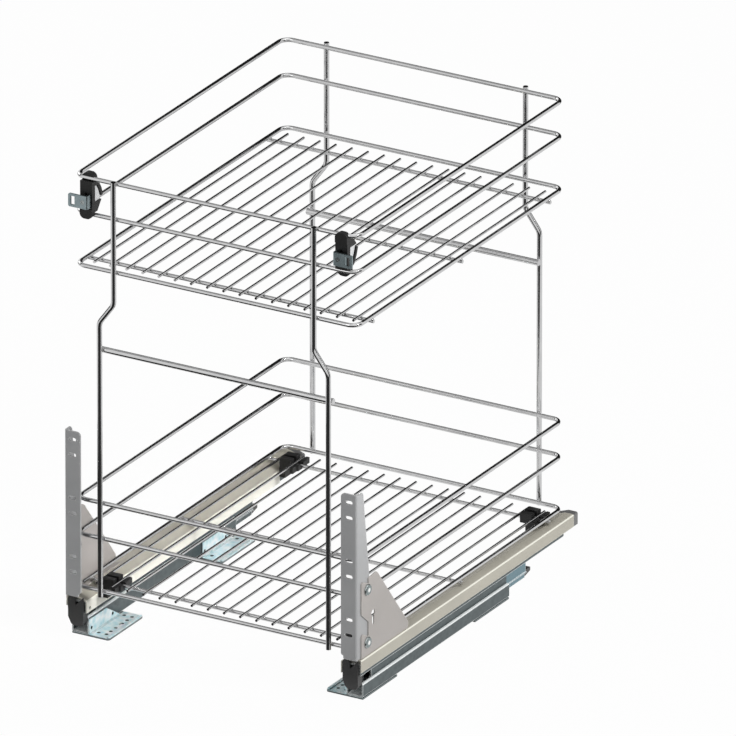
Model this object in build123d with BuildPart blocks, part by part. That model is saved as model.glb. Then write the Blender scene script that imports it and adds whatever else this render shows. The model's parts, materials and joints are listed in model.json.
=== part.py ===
from build123d import *
import os

os.makedirs("parts", exist_ok=True)

# A two-tier wire basket that pulls out of a base cabinet on two telescopic runners.
# Millimetres. Front, where the cabinet's door is screwed on, is -Y; +Z is up; the
# cabinet floor is Z = 0. X = 0 is the middle, and each pair of rails mirrors across it.

# ---- wire baskets ----
ring_width = 360.0  # between the centre lines of the side wires
ring_depth = 460.0  # between the centre lines of the front and rear wires
ring_wire = 5.0
ring_corner = 12.0  # bend radius on the centre line
middle_ring_rise = 64.0  # above the basket's bottom ring
top_ring_rise = 106.9
basket_pitch = 389.0  # lower bottom ring to upper bottom ring
floor_wire = 3.0
floor_wire_count = 17
floor_wire_pitch = 20.8
floor_wire_inset = 16.0  # ring's centre line to the ends of the floor wires
cross_wire = 4.5
cross_wire_overhang = 3.0  # past the centre line of the side wires
cross_wire_inset = 33.0  # ring's centre line to the first cross wire
weld_gap = 0.02  # between wires that are welded where they cross
wire_lift = 0.1  # cross wires above the gusset plates' feet

# ---- posts and cross bars ----
post_wire = 6.0
low_post_spacing = 294.0
high_post_spacing = 257.0
post_above_ring = 3.6
post_below_ring = 4.5
joggle_drop = 37.0  # from the upper basket down to the start of the joggle
joggle_height = 25.0
joggle_bend = 14.0
bar_wire = 7.0
bar_drop = 96.5  # from the upper basket down to the cross bars
bar_overhang = 3.0
post_door_gap = 5.1  # front posts to the plane of the door

# ---- runners ----
rail_spacing = 354.0  # between the centre planes of the two runners
foot_sheet = 2.0
profile_sheet = 1.5
rail_sheet = 1.3
sheet_bend = 2.0  # outer radius of every fold in the profiles
cabinet_width = 21.0
cabinet_inner_wall = 21.2  # height of the wall towards the middle
cabinet_outer_wall = 16.7
cabinet_length = 327.0
cabinet_setback = 14.6  # door plane to the front of the fixed profile
lip_play = 0.45
rib_play = 0.6
rib_height = 1.5
rib_proud = 0.95
middle_height = 30.7
middle_length = 345.0
middle_setback = 25.0  # of its front end, behind the fixed profile's
runner_leg = 13.9  # height of the zinc pull-out profile
runner_front_play = 1.0  # from the rail's front end
runner_rear_setback = 20.6  # from the rail's rear end
rail_width = 26.5
rail_past_ring = 15.6  # the rails are this much longer than the ring is deep
rail_slope_drop = 5.1  # the inner half of the rail's top slopes down by this
rail_flat = 11.5  # width of the level part of the rail's top
rail_inner_wall = 14.5
rail_outer_wall = 14.9
rail_wall_cut = 47.6  # the inner wall stops short of the rear end
rail_hole = 4.0
rail_hole_offset = 4.0  # from the runner's centre plane towards the middle
rail_hole_shift = 12.0  # behind the cross wire
stop_hole_setback = 7.2
stop_hole_drop = 10.2
rail_setback = 6.6  # door plane to the front of the rails
cap_proud = 9.8
cap_height = 14.6
cap_plug = 16.0  # how far the cap's plug reaches into the rail

# ---- roller cages ----
lower_roller = 4.7
upper_roller = 3.2
roller_play = 0.2
cage_sheet = 1.6
pocket_play = 0.15
side_roller_height = 3.6
lower_roller_length = 7.0
upper_roller_length = 9.0
roller_stations = 4
lower_cage_length = 115.0
upper_cage_length = 190.0
cage_margin = 12.0  # from a cage's end to its first roller
pull_out = 450.0
end_play = 0.5

# ---- feet ----
foot_length = 76.0
foot_reach = 37.0  # from the runner's centre plane towards the middle
foot_corner = 3.0
hem_width = 3.5
hem_height = 1.8
foot_leg_top = 38.0
foot_leg_base = 68.0
foot_leg_height = 18.5
foot_fold = 1.5  # inner radius between plate and leg
foot_hole = 4.5
foot_hole_column = 17.4  # runner's centre plane to the first row of holes
foot_hole_pitch_x = 10.0
foot_hole_pitch_y = 56.0
foot_extra_holes = (-18.5, -7.5, 17.5)  # in the inner row, from the pattern's middle
foot_slot_place = 5.0
foot_hole_setback = 11.0
foot_slot_length = 8.0
leg_hole = 4.0
leg_hole_rise = 7.2
leg_hole_first = 4.6
leg_hole_second = 51.0

# ---- door brackets and gusset plates ----
bracket_sheet = 2.0
bracket_width = 20.4
bracket_height = 200.0
bracket_offset = 11.0  # runner's centre plane to the bracket's outer face
bracket_lift = 0.9  # above the rail
bracket_corner = 5.0
bracket_fold = 2.5  # outer radius where the bracket turns back
step_width = 3.0  # step in the bracket's inner lower corner
step_height = 4.0
step_round = 1.4
flange_sheet = 1.5
flange_lift = 0.3  # above the gusset's foot
flange_top_depth = 14.1
flange_mid_depth = 27.5
flange_low_depth = 29.6
flange_mid_z = 96.3  # above the bracket's lower end
flange_low_z = 86.0
slot_length = 9.5
slot_width = 4.5
slot_first = 29.5  # above the bracket's lower end
slot_pair = 18.7
slot_pairs = 3
slot_top = 10.0  # below the bracket's upper end
gusset_sheet = 1.5
gusset_setback = 8.2
gusset_length = 110.0  # to where the slope would meet the rail
gusset_height = 95.7
gusset_top = 94.0
gusset_dip = 6.5  # of the upper tab's top, down to the recess
gusset_notch = 0.6  # of the dip is a step back up
gusset_tab_low = 31.4
gusset_tab_high = 54.3
gusset_recess = 15.5
gusset_recess_low = 23.5
gusset_recess_high = 41.1
gusset_apex = 33.6
gusset_foot = 10.0  # width of the flange that stands on the rail
gusset_foot_end = 11.0  # short of the slope's end
gusset_round = 6.0
gusset_tab_round = 3.0
gusset_fold = 2.2  # outer radius where the foot turns inwards
screw_shank = 5.0
screw_play = 0.2
screw_head = 13.4
screw_head_height = 2.6
screw_dome = 2.1
screw_low = 17.0  # above the rail
screw_high = 80.7
screw_depth = 20.8  # behind the door plane
keyhole_depth = 33.9
keyhole_z = 47.9
keyhole_round = 8.0
keyhole_slot = 4.5
keyhole_drop = 14.3

# ---- plastic end pieces ----
claw_width = 19.6
claw_height = 35.0
claw_slant_width = 4.5  # slanting corner below the finger
claw_slant_height = 10.0
claw_drop = 1.3  # below the rail's top
claw_horn_drop = 0.3  # the horn's outer end, below the finger
claw_horn_flat = 1.0
claw_finger = 9.0
claw_notch = 9.5
claw_notch_width = 1.6
claw_front_gap = 4.4
claw_round = 6.0
finger_round = 4.0
plug_play = 0.2
tongue_length = 14.0
tongue_height = 7.0
tongue_taper = 6.0  # degrees

# ---- basket holders ----
holder_width = 25.0
holder_front = 9.5  # in front of the cross wire
holder_rear = 12.0  # behind it
holder_top = 12.8  # above the rail
holder_wall = 0.6  # under the cross wire
holder_round = 1.5
holder_foot = 8.8  # from the rail's inner wall outwards over its slope
holder_offset = 5.0  # floor wire to the middle of the holder
holder_strip = 38.0  # length of the low strip beside the floor wire
holder_strip_gap = 2.0  # floor wire's centre line to the strip
holder_lug = 8.0
holder_lug_drop = 12.2

# ---- door clips of the upper basket ----
clip_x = 163.6
clip_width = 15.6
clip_round = 6.0  # corners seen from the front
clip_front = 6.5  # in front of the wires
clip_back = 1.0
clip_play = 0.2
clip_foot = 1.5
clip_cap = 3.6
hook_x = 169.7
hook_width = 24.6
hook_height = 15.8
hook_drop = 3.5  # below the middle between the two wires
hook_corner = 2.0
hook_sheet = 2.0
window_width = 5.0
window_height = 10.5
window_inset = 5.8  # plate's outer edge to the middle of the window
hook_screw = 3.0
hook_screw_head = 5.0
hook_screw_sink = 1.2
hook_screw_depth = 5.0

# ---- places that follow ----
rail_x = rail_spacing / 2
rail_length = ring_depth + rail_past_ring
lower_gap = lower_roller + 2 * roller_play
upper_gap = upper_roller + 2 * roller_play
cabinet_floor_z = foot_sheet + profile_sheet
middle_bottom_z = cabinet_floor_z + lower_gap
middle_top_z = middle_bottom_z + middle_height
runner_under_z = middle_top_z + upper_gap
runner_top_z = runner_under_z + profile_sheet
rail_edge_z = runner_top_z + rail_sheet
rail_top_z = rail_edge_z + rail_slope_drop

cabinet_half = cabinet_width / 2
cabinet_inner_half = cabinet_half - profile_sheet
low_half = cabinet_inner_half - upper_gap
rail_half = rail_width / 2
runner_half = rail_half - rail_sheet
runner_inner_half = runner_half - profile_sheet
middle_half = runner_inner_half - upper_gap
lip_half = middle_half + lip_play
rib_half = middle_half + rib_proud
outer_lip_z = foot_sheet + cabinet_outer_wall
inner_lip_z = foot_sheet + cabinet_inner_wall
low_rib_z = outer_lip_z - profile_sheet - rib_play  # top of the lower rib
runner_low_z = runner_top_z - runner_leg
high_rib_z = runner_low_z + profile_sheet + rib_play  # underside of the upper rib

door_y = -(rail_setback + rail_length + cap_proud) / 2
rail_front_y = door_y + rail_setback
rail_rear_y = rail_front_y + rail_length
cabinet_front_y = door_y + cabinet_setback
cabinet_rear_y = cabinet_front_y + cabinet_length
middle_front_y = cabinet_front_y + middle_setback
middle_rear_y = middle_front_y + middle_length
runner_front_y = rail_front_y + runner_front_play
runner_rear_y = rail_rear_y - runner_rear_setback
cage_front_y = middle_front_y + pull_out / 4 + end_play

post_y = ring_depth / 2 + ring_wire / 2 + weld_gap + post_wire / 2
basket_y = door_y + post_door_gap + post_wire / 2 + post_y
cross_z = rail_top_z + gusset_sheet + wire_lift + cross_wire / 2
lower_ring_z = cross_z + cross_wire / 2 + weld_gap + ring_wire / 2
upper_ring_z = lower_ring_z + basket_pitch
floor_z = cross_wire / 2 + weld_gap + floor_wire / 2  # above the cross wires
cross_y = ring_depth / 2 - cross_wire_inset
clip_y = basket_y - ring_depth / 2
clip_z = upper_ring_z + (middle_ring_rise + top_ring_rise) / 2
clip_half = (top_ring_rise - middle_ring_rise) / 2


def save(piece, name):
    """Write one finished piece under its own name."""
    piece.label = name
    export_step(piece, f"parts/{name}.step")


def save_pair(piece, name):
    """Write the right-hand piece and its mirror image for the left."""
    save(piece, f"right_{name}")
    save(mirror(piece, about=Plane.YZ), f"left_{name}")


# ======== wire baskets ========


def ring(z, thickness=ring_wire):
    """One closed wire with four bends."""
    front, rear = basket_y - ring_depth / 2, basket_y + ring_depth / 2
    with BuildPart() as wire:
        with BuildLine():
            FilletPolyline(
                (0, front, z),
                (ring_width / 2, front, z),
                (ring_width / 2, rear, z),
                (0, rear, z),
                radius=ring_corner,
            )
            mirror(about=Plane.YZ)
        with BuildSketch(Plane(origin=(0, front, z), z_dir=(1, 0, 0))):
            Circle(thickness / 2)
        sweep()
    return wire.part


def cross_wires(ring_z):
    """The wires under the basket, from side to side."""
    length = ring_width + 2 * cross_wire_overhang
    z = ring_z - ring_wire / 2 - weld_gap - cross_wire / 2
    with BuildPart() as wires:
        with BuildSketch(Plane.YZ.offset(-length / 2)):
            with Locations((basket_y - cross_y, z), (basket_y, z), (basket_y + cross_y, z)):
                Circle(cross_wire / 2)
        extrude(amount=length)
    return wires.part


def floor_wires(ring_z):
    """The thin wires of the basket's floor, from front to rear, on the cross wires."""
    length = ring_depth - 2 * floor_wire_inset
    z = ring_z - ring_wire / 2 - weld_gap - cross_wire / 2 + floor_z
    with BuildPart() as wires:
        with BuildSketch(Plane.XZ.offset(-(basket_y + length / 2))):
            with Locations((0, z)):
                with GridLocations(floor_wire_pitch, 1, floor_wire_count, 1):
                    Circle(floor_wire / 2)
        extrude(amount=length)
    return wires.part


for tier, ring_z in (("lower", lower_ring_z), ("upper", upper_ring_z)):
    save(ring(ring_z), f"{tier}_bottom_ring")
    save(ring(ring_z + middle_ring_rise), f"{tier}_middle_ring")
    save(ring(ring_z + top_ring_rise), f"{tier}_top_ring")
    save(cross_wires(ring_z), f"{tier}_cross_wires")
    save(floor_wires(ring_z), f"{tier}_floor_wires")

# ======== posts and cross bars ========

post_top_z = upper_ring_z + top_ring_rise + post_above_ring
post_bottom_z = lower_ring_z - post_below_ring
joggle_z = upper_ring_z - joggle_drop


def post(y):
    """A wire from basket to basket that steps outwards below the upper one."""
    high_x, low_x = high_post_spacing / 2, low_post_spacing / 2
    with BuildPart() as wire:
        with BuildLine():
            FilletPolyline(
                (high_x, y, post_top_z),
                (high_x, y, joggle_z),
                (low_x, y, joggle_z - joggle_height),
                (low_x, y, post_bottom_z),
                radius=joggle_bend,
            )
        with BuildSketch(Plane(origin=(high_x, y, post_top_z), z_dir=(0, 0, -1))):
            Circle(post_wire / 2)
        sweep()
    return wire.part


def cross_bar(y):
    """A straight bar welded across the inner side of two posts."""
    length = low_post_spacing + 2 * bar_overhang
    with BuildPart() as bar:
        with BuildSketch(Plane.YZ.offset(-length / 2)):
            with Locations((y, upper_ring_z - bar_drop)):
                Circle(bar_wire / 2)
        extrude(amount=length)
    return bar.part


bar_inset = post_wire / 2 + weld_gap + bar_wire / 2
for place, side in (("front", -1), ("rear", 1)):
    save_pair(post(basket_y + side * post_y), f"{place}_post")
    save(cross_bar(basket_y + side * (post_y - bar_inset)), f"{place}_cross_bar")

# ======== runners ========


def folded_profile(outline, side, rear_y, length):
    """A long profile folded from sheet, drawn at the right-hand runner."""
    sheet = rail_sheet if outline is rail_outline else profile_sheet
    with BuildPart() as profile:
        with BuildSketch(Plane.XZ.offset(-rear_y)):
            with BuildLine():
                FilletPolyline(*[(rail_x + s, z) for s, z in outline], radius=sheet_bend)
                offset(amount=sheet, side=side)
            make_face()
        extrude(amount=length)
    return profile.part


cabinet_outline = (
    (-lip_half, inner_lip_z),
    (-cabinet_half, inner_lip_z),
    (-cabinet_half, foot_sheet),
    (cabinet_half, foot_sheet),
    (cabinet_half, outer_lip_z),
    (lip_half, outer_lip_z),
)
runner_outline = (
    (-lip_half, runner_low_z),
    (-runner_half, runner_low_z),
    (-runner_half, runner_top_z),
    (runner_half, runner_top_z),
    (runner_half, runner_low_z),
    (lip_half, runner_low_z),
)
rail_outline = (
    (-rail_half, rail_edge_z - rail_inner_wall),
    (-rail_half, rail_edge_z),
    (rail_half - rail_flat, rail_top_z),
    (rail_half, rail_top_z),
    (rail_half, rail_top_z - rail_outer_wall),
)
save_pair(
    folded_profile(cabinet_outline, Side.LEFT, cabinet_rear_y, cabinet_length),
    "cabinet_profile",
)
save_pair(
    folded_profile(runner_outline, Side.RIGHT, runner_rear_y, runner_rear_y - runner_front_y),
    "runner_profile",
)

# The middle member: a closed tube with a narrow lower part and two pairs of ribs that
# hold it under the lips of its neighbours.
with BuildPart() as middle_profile:
    with BuildSketch(Plane.XZ.offset(-middle_rear_y)):
        with Locations((rail_x, (low_rib_z + middle_top_z) / 2)):
            Rectangle(2 * middle_half, middle_top_z - low_rib_z)
        with Locations((rail_x, (middle_bottom_z + low_rib_z) / 2)):
            Rectangle(2 * low_half, low_rib_z - middle_bottom_z)
        for rib_z in (low_rib_z - rib_height / 2, high_rib_z + rib_height / 2):
            with Locations((rail_x, rib_z)):
                Rectangle(2 * rib_half, rib_height)
        with Locations((rail_x, (low_rib_z + middle_top_z) / 2)):
            Rectangle(
                2 * (middle_half - profile_sheet),
                middle_top_z - low_rib_z - 2 * profile_sheet,
                mode=Mode.SUBTRACT,
            )
        with Locations((rail_x, (middle_bottom_z + low_rib_z) / 2 + profile_sheet)):
            Rectangle(
                2 * (low_half - profile_sheet),
                low_rib_z - middle_bottom_z,
                mode=Mode.SUBTRACT,
            )
    extrude(amount=middle_length)
save_pair(middle_profile.part, "middle_profile")

# Plastic stop in the rear end of the middle member, with a tapered tongue.
tongue_z = middle_bottom_z + tongue_height / 2
with BuildPart() as middle_plug:
    with BuildSketch(Plane.XZ.offset(-middle_rear_y)):
        with Locations((rail_x, (low_rib_z + middle_top_z) / 2)):
            Rectangle(
                2 * (middle_half - profile_sheet - plug_play),
                middle_top_z - low_rib_z - 2 * (profile_sheet + plug_play),
            )
    extrude(amount=tongue_length)
    with BuildSketch(Plane.XZ.offset(-middle_rear_y)):
        with Locations((rail_x, (middle_bottom_z + middle_top_z) / 2)):
            Rectangle(2 * low_half, middle_height - 2 * profile_sheet)
    extrude(amount=-profile_sheet)
    with BuildSketch(Plane.XZ.offset(-(middle_rear_y + profile_sheet))):
        with Locations((rail_x, tongue_z + profile_sheet)):
            Rectangle(2 * low_half, tongue_height)
    extrude(amount=-tongue_length, taper=tongue_taper)
save_pair(middle_plug.part, "middle_plug")

# Painted rail over the pull-out profile.
with BuildPart() as side_rail:
    add(folded_profile(rail_outline, Side.RIGHT, rail_rear_y, rail_length))
    with BuildSketch(Plane.XZ.offset(-rail_rear_y)):
        with Locations((rail_x - rail_half, runner_top_z)):
            Rectangle(4 * rail_sheet, 2 * rail_inner_wall, align=(Align.CENTER, Align.MAX))
    extrude(amount=rail_wall_cut, mode=Mode.SUBTRACT)
    # locating holes in the sloping top, one beside each cross wire
    with BuildSketch(Plane.XY.offset(rail_top_z)):
        for hole_y in (-cross_y, 0, cross_y):
            with Locations((rail_x - rail_hole_offset, basket_y + hole_y + rail_hole_shift)):
                Circle(rail_hole / 2)
    extrude(amount=-2 * rail_slope_drop, mode=Mode.SUBTRACT)
    # stop hole in the inner wall at the front
    with BuildSketch(Plane.YZ.offset(rail_x - rail_half)):
        with Locations((rail_front_y + stop_hole_setback, rail_edge_z - stop_hole_drop)):
            Circle(rail_hole / 2)
    extrude(amount=rail_sheet, mode=Mode.SUBTRACT)
save_pair(side_rail.part, "side_rail")

# Cap on the rear end of the rail, with a plug that grips the outer wall. The middle
# member passes under the cap, so its underside is open over the member's width.
cap_under_z = middle_top_z + 2 * end_play
with BuildPart() as rail_cap:
    with BuildSketch(Plane.XZ.offset(-rail_rear_y)):
        with BuildLine():
            FilletPolyline(
                (rail_x - rail_half, rail_top_z - cap_height),
                (rail_x - rail_half, rail_edge_z),
                (rail_x + rail_half - rail_flat, rail_top_z),
                (rail_x + rail_half, rail_top_z),
                (rail_x + rail_half, rail_top_z - cap_height),
                radius=sheet_bend,
            )
            Line(
                (rail_x + rail_half, rail_top_z - cap_height),
                (rail_x - rail_half, rail_top_z - cap_height),
            )
        make_face()
    extrude(amount=-cap_proud)
    chamfer(rail_cap.faces().sort_by(Axis.Y)[-1].edges(), sheet_bend / 2)
    with BuildSketch(Plane.XZ.offset(-rail_rear_y)):
        with Locations((rail_x, cap_under_z)):
            Rectangle(2 * (rib_half + 2 * end_play), cap_height, align=(Align.CENTER, Align.MAX))
    extrude(amount=-cap_proud, mode=Mode.SUBTRACT)
    with BuildSketch(Plane.XZ.offset(-rail_rear_y)):
        with Locations((rail_x + runner_half - plug_play, runner_top_z)):
            Rectangle(runner_half, runner_top_z - cap_under_z, align=(Align.MAX, Align.MAX))
    extrude(amount=cap_plug)
save_pair(rail_cap.part, "rail_cap")

# Front end piece: a finger and a sloping horn with a notch between them. Its rear part
# fills the mouth of the pull-out profile. Both sides have the same piece.
claw_front_y = door_y + claw_front_gap
claw_top_z = rail_top_z - claw_drop
claw_low_z = claw_top_z - claw_height
claw_horn_z = claw_top_z - claw_horn_drop
claw_notch_z = claw_top_z - claw_notch


def front_claw(x):
    """The end piece at the runner whose centre plane is x."""
    left, right = x - claw_width / 2, x + claw_width / 2
    finger_x = left + claw_finger
    rear_y = cabinet_front_y - end_play
    with BuildPart() as claw:
        with BuildSketch(Plane.XZ.offset(-rear_y)):
            with BuildLine():
                Polyline(
                    (right, claw_low_z),
                    (left + claw_slant_width, claw_low_z),
                    (left, claw_low_z + claw_slant_height),
                    (left, claw_top_z),
                    (finger_x, claw_top_z),
                    (finger_x, claw_notch_z),
                    (finger_x + claw_notch_width, claw_notch_z),
                    (right - claw_horn_flat, claw_horn_z),
                    (right, claw_horn_z),
                    (right, claw_low_z),
                )
            make_face()
            fillet(vertices().group_by(Axis.Y)[0], claw_round)
            fillet(vertices().group_by(Axis.Y)[-1], finger_round)
        extrude(amount=rear_y - claw_front_y)
        # behind the rail's front end only what fits the mouth of its profile is left
        with BuildSketch(Plane.XZ.offset(-rear_y)):
            with Locations((x, runner_low_z - end_play)):
                Rectangle(2 * rail_width, 2 * claw_height, align=(Align.CENTER, Align.MIN))
            with Locations((x, runner_under_z - plug_play)):
                RectangleRounded(
                    2 * (runner_inner_half - plug_play),
                    runner_under_z - runner_low_z - profile_sheet - 2 * plug_play,
                    profile_sheet,
                    align=(Align.CENTER, Align.MAX),
                    mode=Mode.SUBTRACT,
                )
        extrude(amount=rear_y - rail_front_y + plug_play, mode=Mode.SUBTRACT)
    return claw.part


save(front_claw(rail_x), "right_front_claw")
save(front_claw(-rail_x), "left_front_claw")

# ======== roller cages ========


def station_ys(length):
    """Where the rollers of a cage lie along the runner."""
    first = cage_front_y + cage_margin
    step = (length - 2 * cage_margin) / (roller_stations - 1)
    return [first + i * step for i in range(roller_stations)]


def cage_and_rollers(length, half, web_z, edge_z, roller, roller_length, side_z):
    """A saddle of plastic strip and its rollers: one level and two upright per station."""
    ys = station_ys(length)
    low, high = sorted((web_z, edge_z))
    low -= cage_sheet / 2 if low == web_z else 0
    high += cage_sheet / 2 if high == web_z else 0
    with BuildPart() as cage:
        with BuildSketch(Plane.XZ.offset(-(cage_front_y + length))):
            with Locations((rail_x, web_z)):
                Rectangle(2 * half + cage_sheet, cage_sheet)
            with Locations((rail_x - half, (low + high) / 2), (rail_x + half, (low + high) / 2)):
                Rectangle(cage_sheet, high - low)
        extrude(amount=length)
        with Locations(*[(rail_x, y, web_z) for y in ys]):
            Box(
                roller_length + 2 * pocket_play,
                roller + 2 * pocket_play,
                2 * cage_sheet,
                mode=Mode.SUBTRACT,
            )
        with Locations(*[(rail_x, y, side_z) for y in ys]):
            Box(
                2 * half + 2 * cage_sheet,
                upper_roller + 2 * pocket_play,
                side_roller_height + 2 * pocket_play,
                mode=Mode.SUBTRACT,
            )
    with BuildPart() as rollers:
        with BuildSketch(Plane.YZ.offset(rail_x - roller_length / 2)):
            with Locations(*[(y, web_z) for y in ys]):
                Circle(roller / 2)
        extrude(amount=roller_length)
        with BuildSketch(Plane.XY.offset(side_z - side_roller_height / 2)):
            for x in (rail_x - half, rail_x + half):
                with Locations(*[(x, y) for y in ys]):
                    Circle(upper_roller / 2)
        extrude(amount=side_roller_height)
    return cage.part, rollers.part


lower_edge_z = low_rib_z - rib_height - end_play
lower_side_z = (cabinet_floor_z + lower_gap + lower_edge_z) / 2
lower_cage, lower_rollers = cage_and_rollers(
    lower_cage_length,
    low_half + upper_gap / 2,
    cabinet_floor_z + lower_gap / 2,
    lower_edge_z,
    lower_roller,
    lower_roller_length,
    lower_side_z,
)
save_pair(lower_cage, "lower_cage")
save_pair(lower_rollers, "lower_rollers")

upper_edge_z = high_rib_z + rib_height + end_play / 2
upper_side_z = (upper_edge_z + middle_top_z) / 2 + end_play / 2
upper_cage, upper_rollers = cage_and_rollers(
    upper_cage_length,
    middle_half + upper_gap / 2,
    middle_top_z + upper_gap / 2,
    upper_edge_z,
    upper_roller,
    upper_roller_length,
    upper_side_z,
)
save_pair(upper_cage, "upper_cage")
save_pair(upper_rollers, "upper_rollers")

# ======== feet ========


def foot(front_y):
    """A plate under the fixed profile, with a hem, an upright leg and screw holes."""
    inner_x, outer_x = rail_x - foot_reach, rail_x + cabinet_half
    middle_y = front_y + foot_hole_setback + foot_hole_pitch_y / 2
    hole_x = rail_x - foot_hole_column - foot_hole_pitch_x / 2
    with BuildPart() as plate:
        with BuildSketch():
            with Locations(((inner_x + outer_x) / 2, front_y + foot_length / 2)):
                Rectangle(outer_x - inner_x, foot_length)
            fillet(vertices().group_by(Axis.X)[0], foot_corner)
        extrude(amount=foot_sheet)
        # hem along the inner edge
        with BuildSketch(Plane.XY.offset(foot_sheet)):
            with Locations((inner_x + hem_width / 2, front_y + foot_length / 2)):
                SlotOverall(foot_length - foot_corner, hem_width, rotation=90)
        extrude(amount=hem_height)
        fillet(plate.faces().sort_by(Axis.Z)[-1].edges(), hem_height / 2)
        # leg against the inner wall of the profile
        with BuildSketch(Plane.YZ.offset(rail_x - cabinet_half)):
            with BuildLine():
                Polyline(
                    (front_y, foot_sheet),
                    (front_y + foot_leg_base, foot_sheet),
                    (front_y + foot_leg_top, foot_sheet + foot_leg_height),
                    (front_y, foot_sheet + foot_leg_height),
                    (front_y, foot_sheet),
                )
            make_face()
            with Locations(
                (front_y + leg_hole_first, foot_sheet + leg_hole_rise),
                (front_y + leg_hole_second, foot_sheet + leg_hole_rise),
            ):
                Circle(leg_hole / 2, mode=Mode.SUBTRACT)
        extrude(amount=-profile_sheet)
        fold_x = rail_x - cabinet_half - profile_sheet
        fold = plate.edges().filter_by(Axis.Y).filter_by_position(Axis.X, fold_x, fold_x)
        fillet(fold.sort_by(Axis.Z)[0], foot_fold)
        with BuildSketch(Plane.XY.offset(foot_sheet)):
            with Locations((hole_x, middle_y)):
                with GridLocations(foot_hole_pitch_x, foot_hole_pitch_y, 2, 2):
                    Circle(foot_hole / 2)
            inner_row_x = hole_x - foot_hole_pitch_x / 2
            with Locations(*[(inner_row_x, middle_y + place) for place in foot_extra_holes]):
                Circle(foot_hole / 2)
            with Locations((inner_row_x, middle_y + foot_slot_place)):
                SlotOverall(foot_slot_length, foot_hole, rotation=90)
        extrude(amount=-foot_sheet, mode=Mode.SUBTRACT)
    return plate.part


save_pair(foot(cabinet_front_y), "front_foot")
save_pair(foot(cabinet_rear_y - foot_length - 2 * end_play), "rear_foot")

# ======== door brackets and gussets ========

flange_x = rail_x + bracket_offset  # outer face of the bracket's flange
bracket_inner_x = flange_x - bracket_width
bracket_low_z = rail_top_z + bracket_lift
bracket_high_z = bracket_low_z + bracket_height
flange_under_z = rail_top_z + gusset_sheet + flange_lift
slot_x = flange_x - bracket_width / 2
slot_pitch = (bracket_height - slot_first - slot_pair - slot_top) / (slot_pairs - 1)
screw_places = [(door_y + screw_depth, rail_top_z + rise) for rise in (screw_low, screw_high)]

with BuildPart() as door_bracket:
    with BuildSketch(Plane.XZ.offset(-(door_y + bracket_sheet))):
        with BuildLine():
            Polyline(
                (flange_x, bracket_low_z),
                (bracket_inner_x + step_width, bracket_low_z),
                (bracket_inner_x + step_width, bracket_low_z + step_height),
                (bracket_inner_x, bracket_low_z + step_height),
                (bracket_inner_x, bracket_high_z),
                (flange_x, bracket_high_z),
                (flange_x, bracket_low_z),
            )
        make_face()
        fillet(vertices().group_by(Axis.X)[0].sort_by(Axis.Y)[-1], bracket_corner)
        fillet(vertices().group_by(Axis.X)[0].sort_by(Axis.Y)[0], step_width)
        fillet(vertices().group_by(Axis.Y)[0].sort_by(Axis.X)[0], step_round)
        for pair in range(slot_pairs):
            for rise in (0, slot_pair):
                slot_z = bracket_low_z + slot_first + pair * slot_pitch + rise
                with Locations((slot_x, slot_z)):
                    SlotOverall(slot_length, slot_width, mode=Mode.SUBTRACT)
    extrude(amount=bracket_sheet)
    with BuildSketch(Plane.YZ.offset(flange_x)):
        with BuildLine():
            Polyline(
                (door_y + bracket_sheet, flange_under_z),
                (door_y + flange_low_depth, flange_under_z),
                (door_y + flange_low_depth, bracket_low_z + flange_low_z - 2 * bracket_corner),
                (door_y + flange_mid_depth, bracket_low_z + flange_low_z),
                (door_y + flange_mid_depth, bracket_low_z + flange_mid_z),
                (door_y + flange_top_depth, bracket_high_z),
                (door_y + bracket_sheet, bracket_high_z),
                (door_y + bracket_sheet, flange_under_z),
            )
        make_face()
        high = vertices().group_by(Axis.Y)[-1].sort_by(Axis.X)[-1]
        fillet(high, bracket_corner)
        with Locations(*screw_places):
            Circle(screw_shank / 2 + screw_play, mode=Mode.SUBTRACT)
    extrude(amount=-flange_sheet)
    fold = door_bracket.edges().filter_by(Axis.Z).filter_by_position(Axis.Y, door_y, door_y)
    fillet(fold.sort_by(Axis.X)[-1], bracket_fold)
save_pair(door_bracket.part, "door_bracket")

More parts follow.
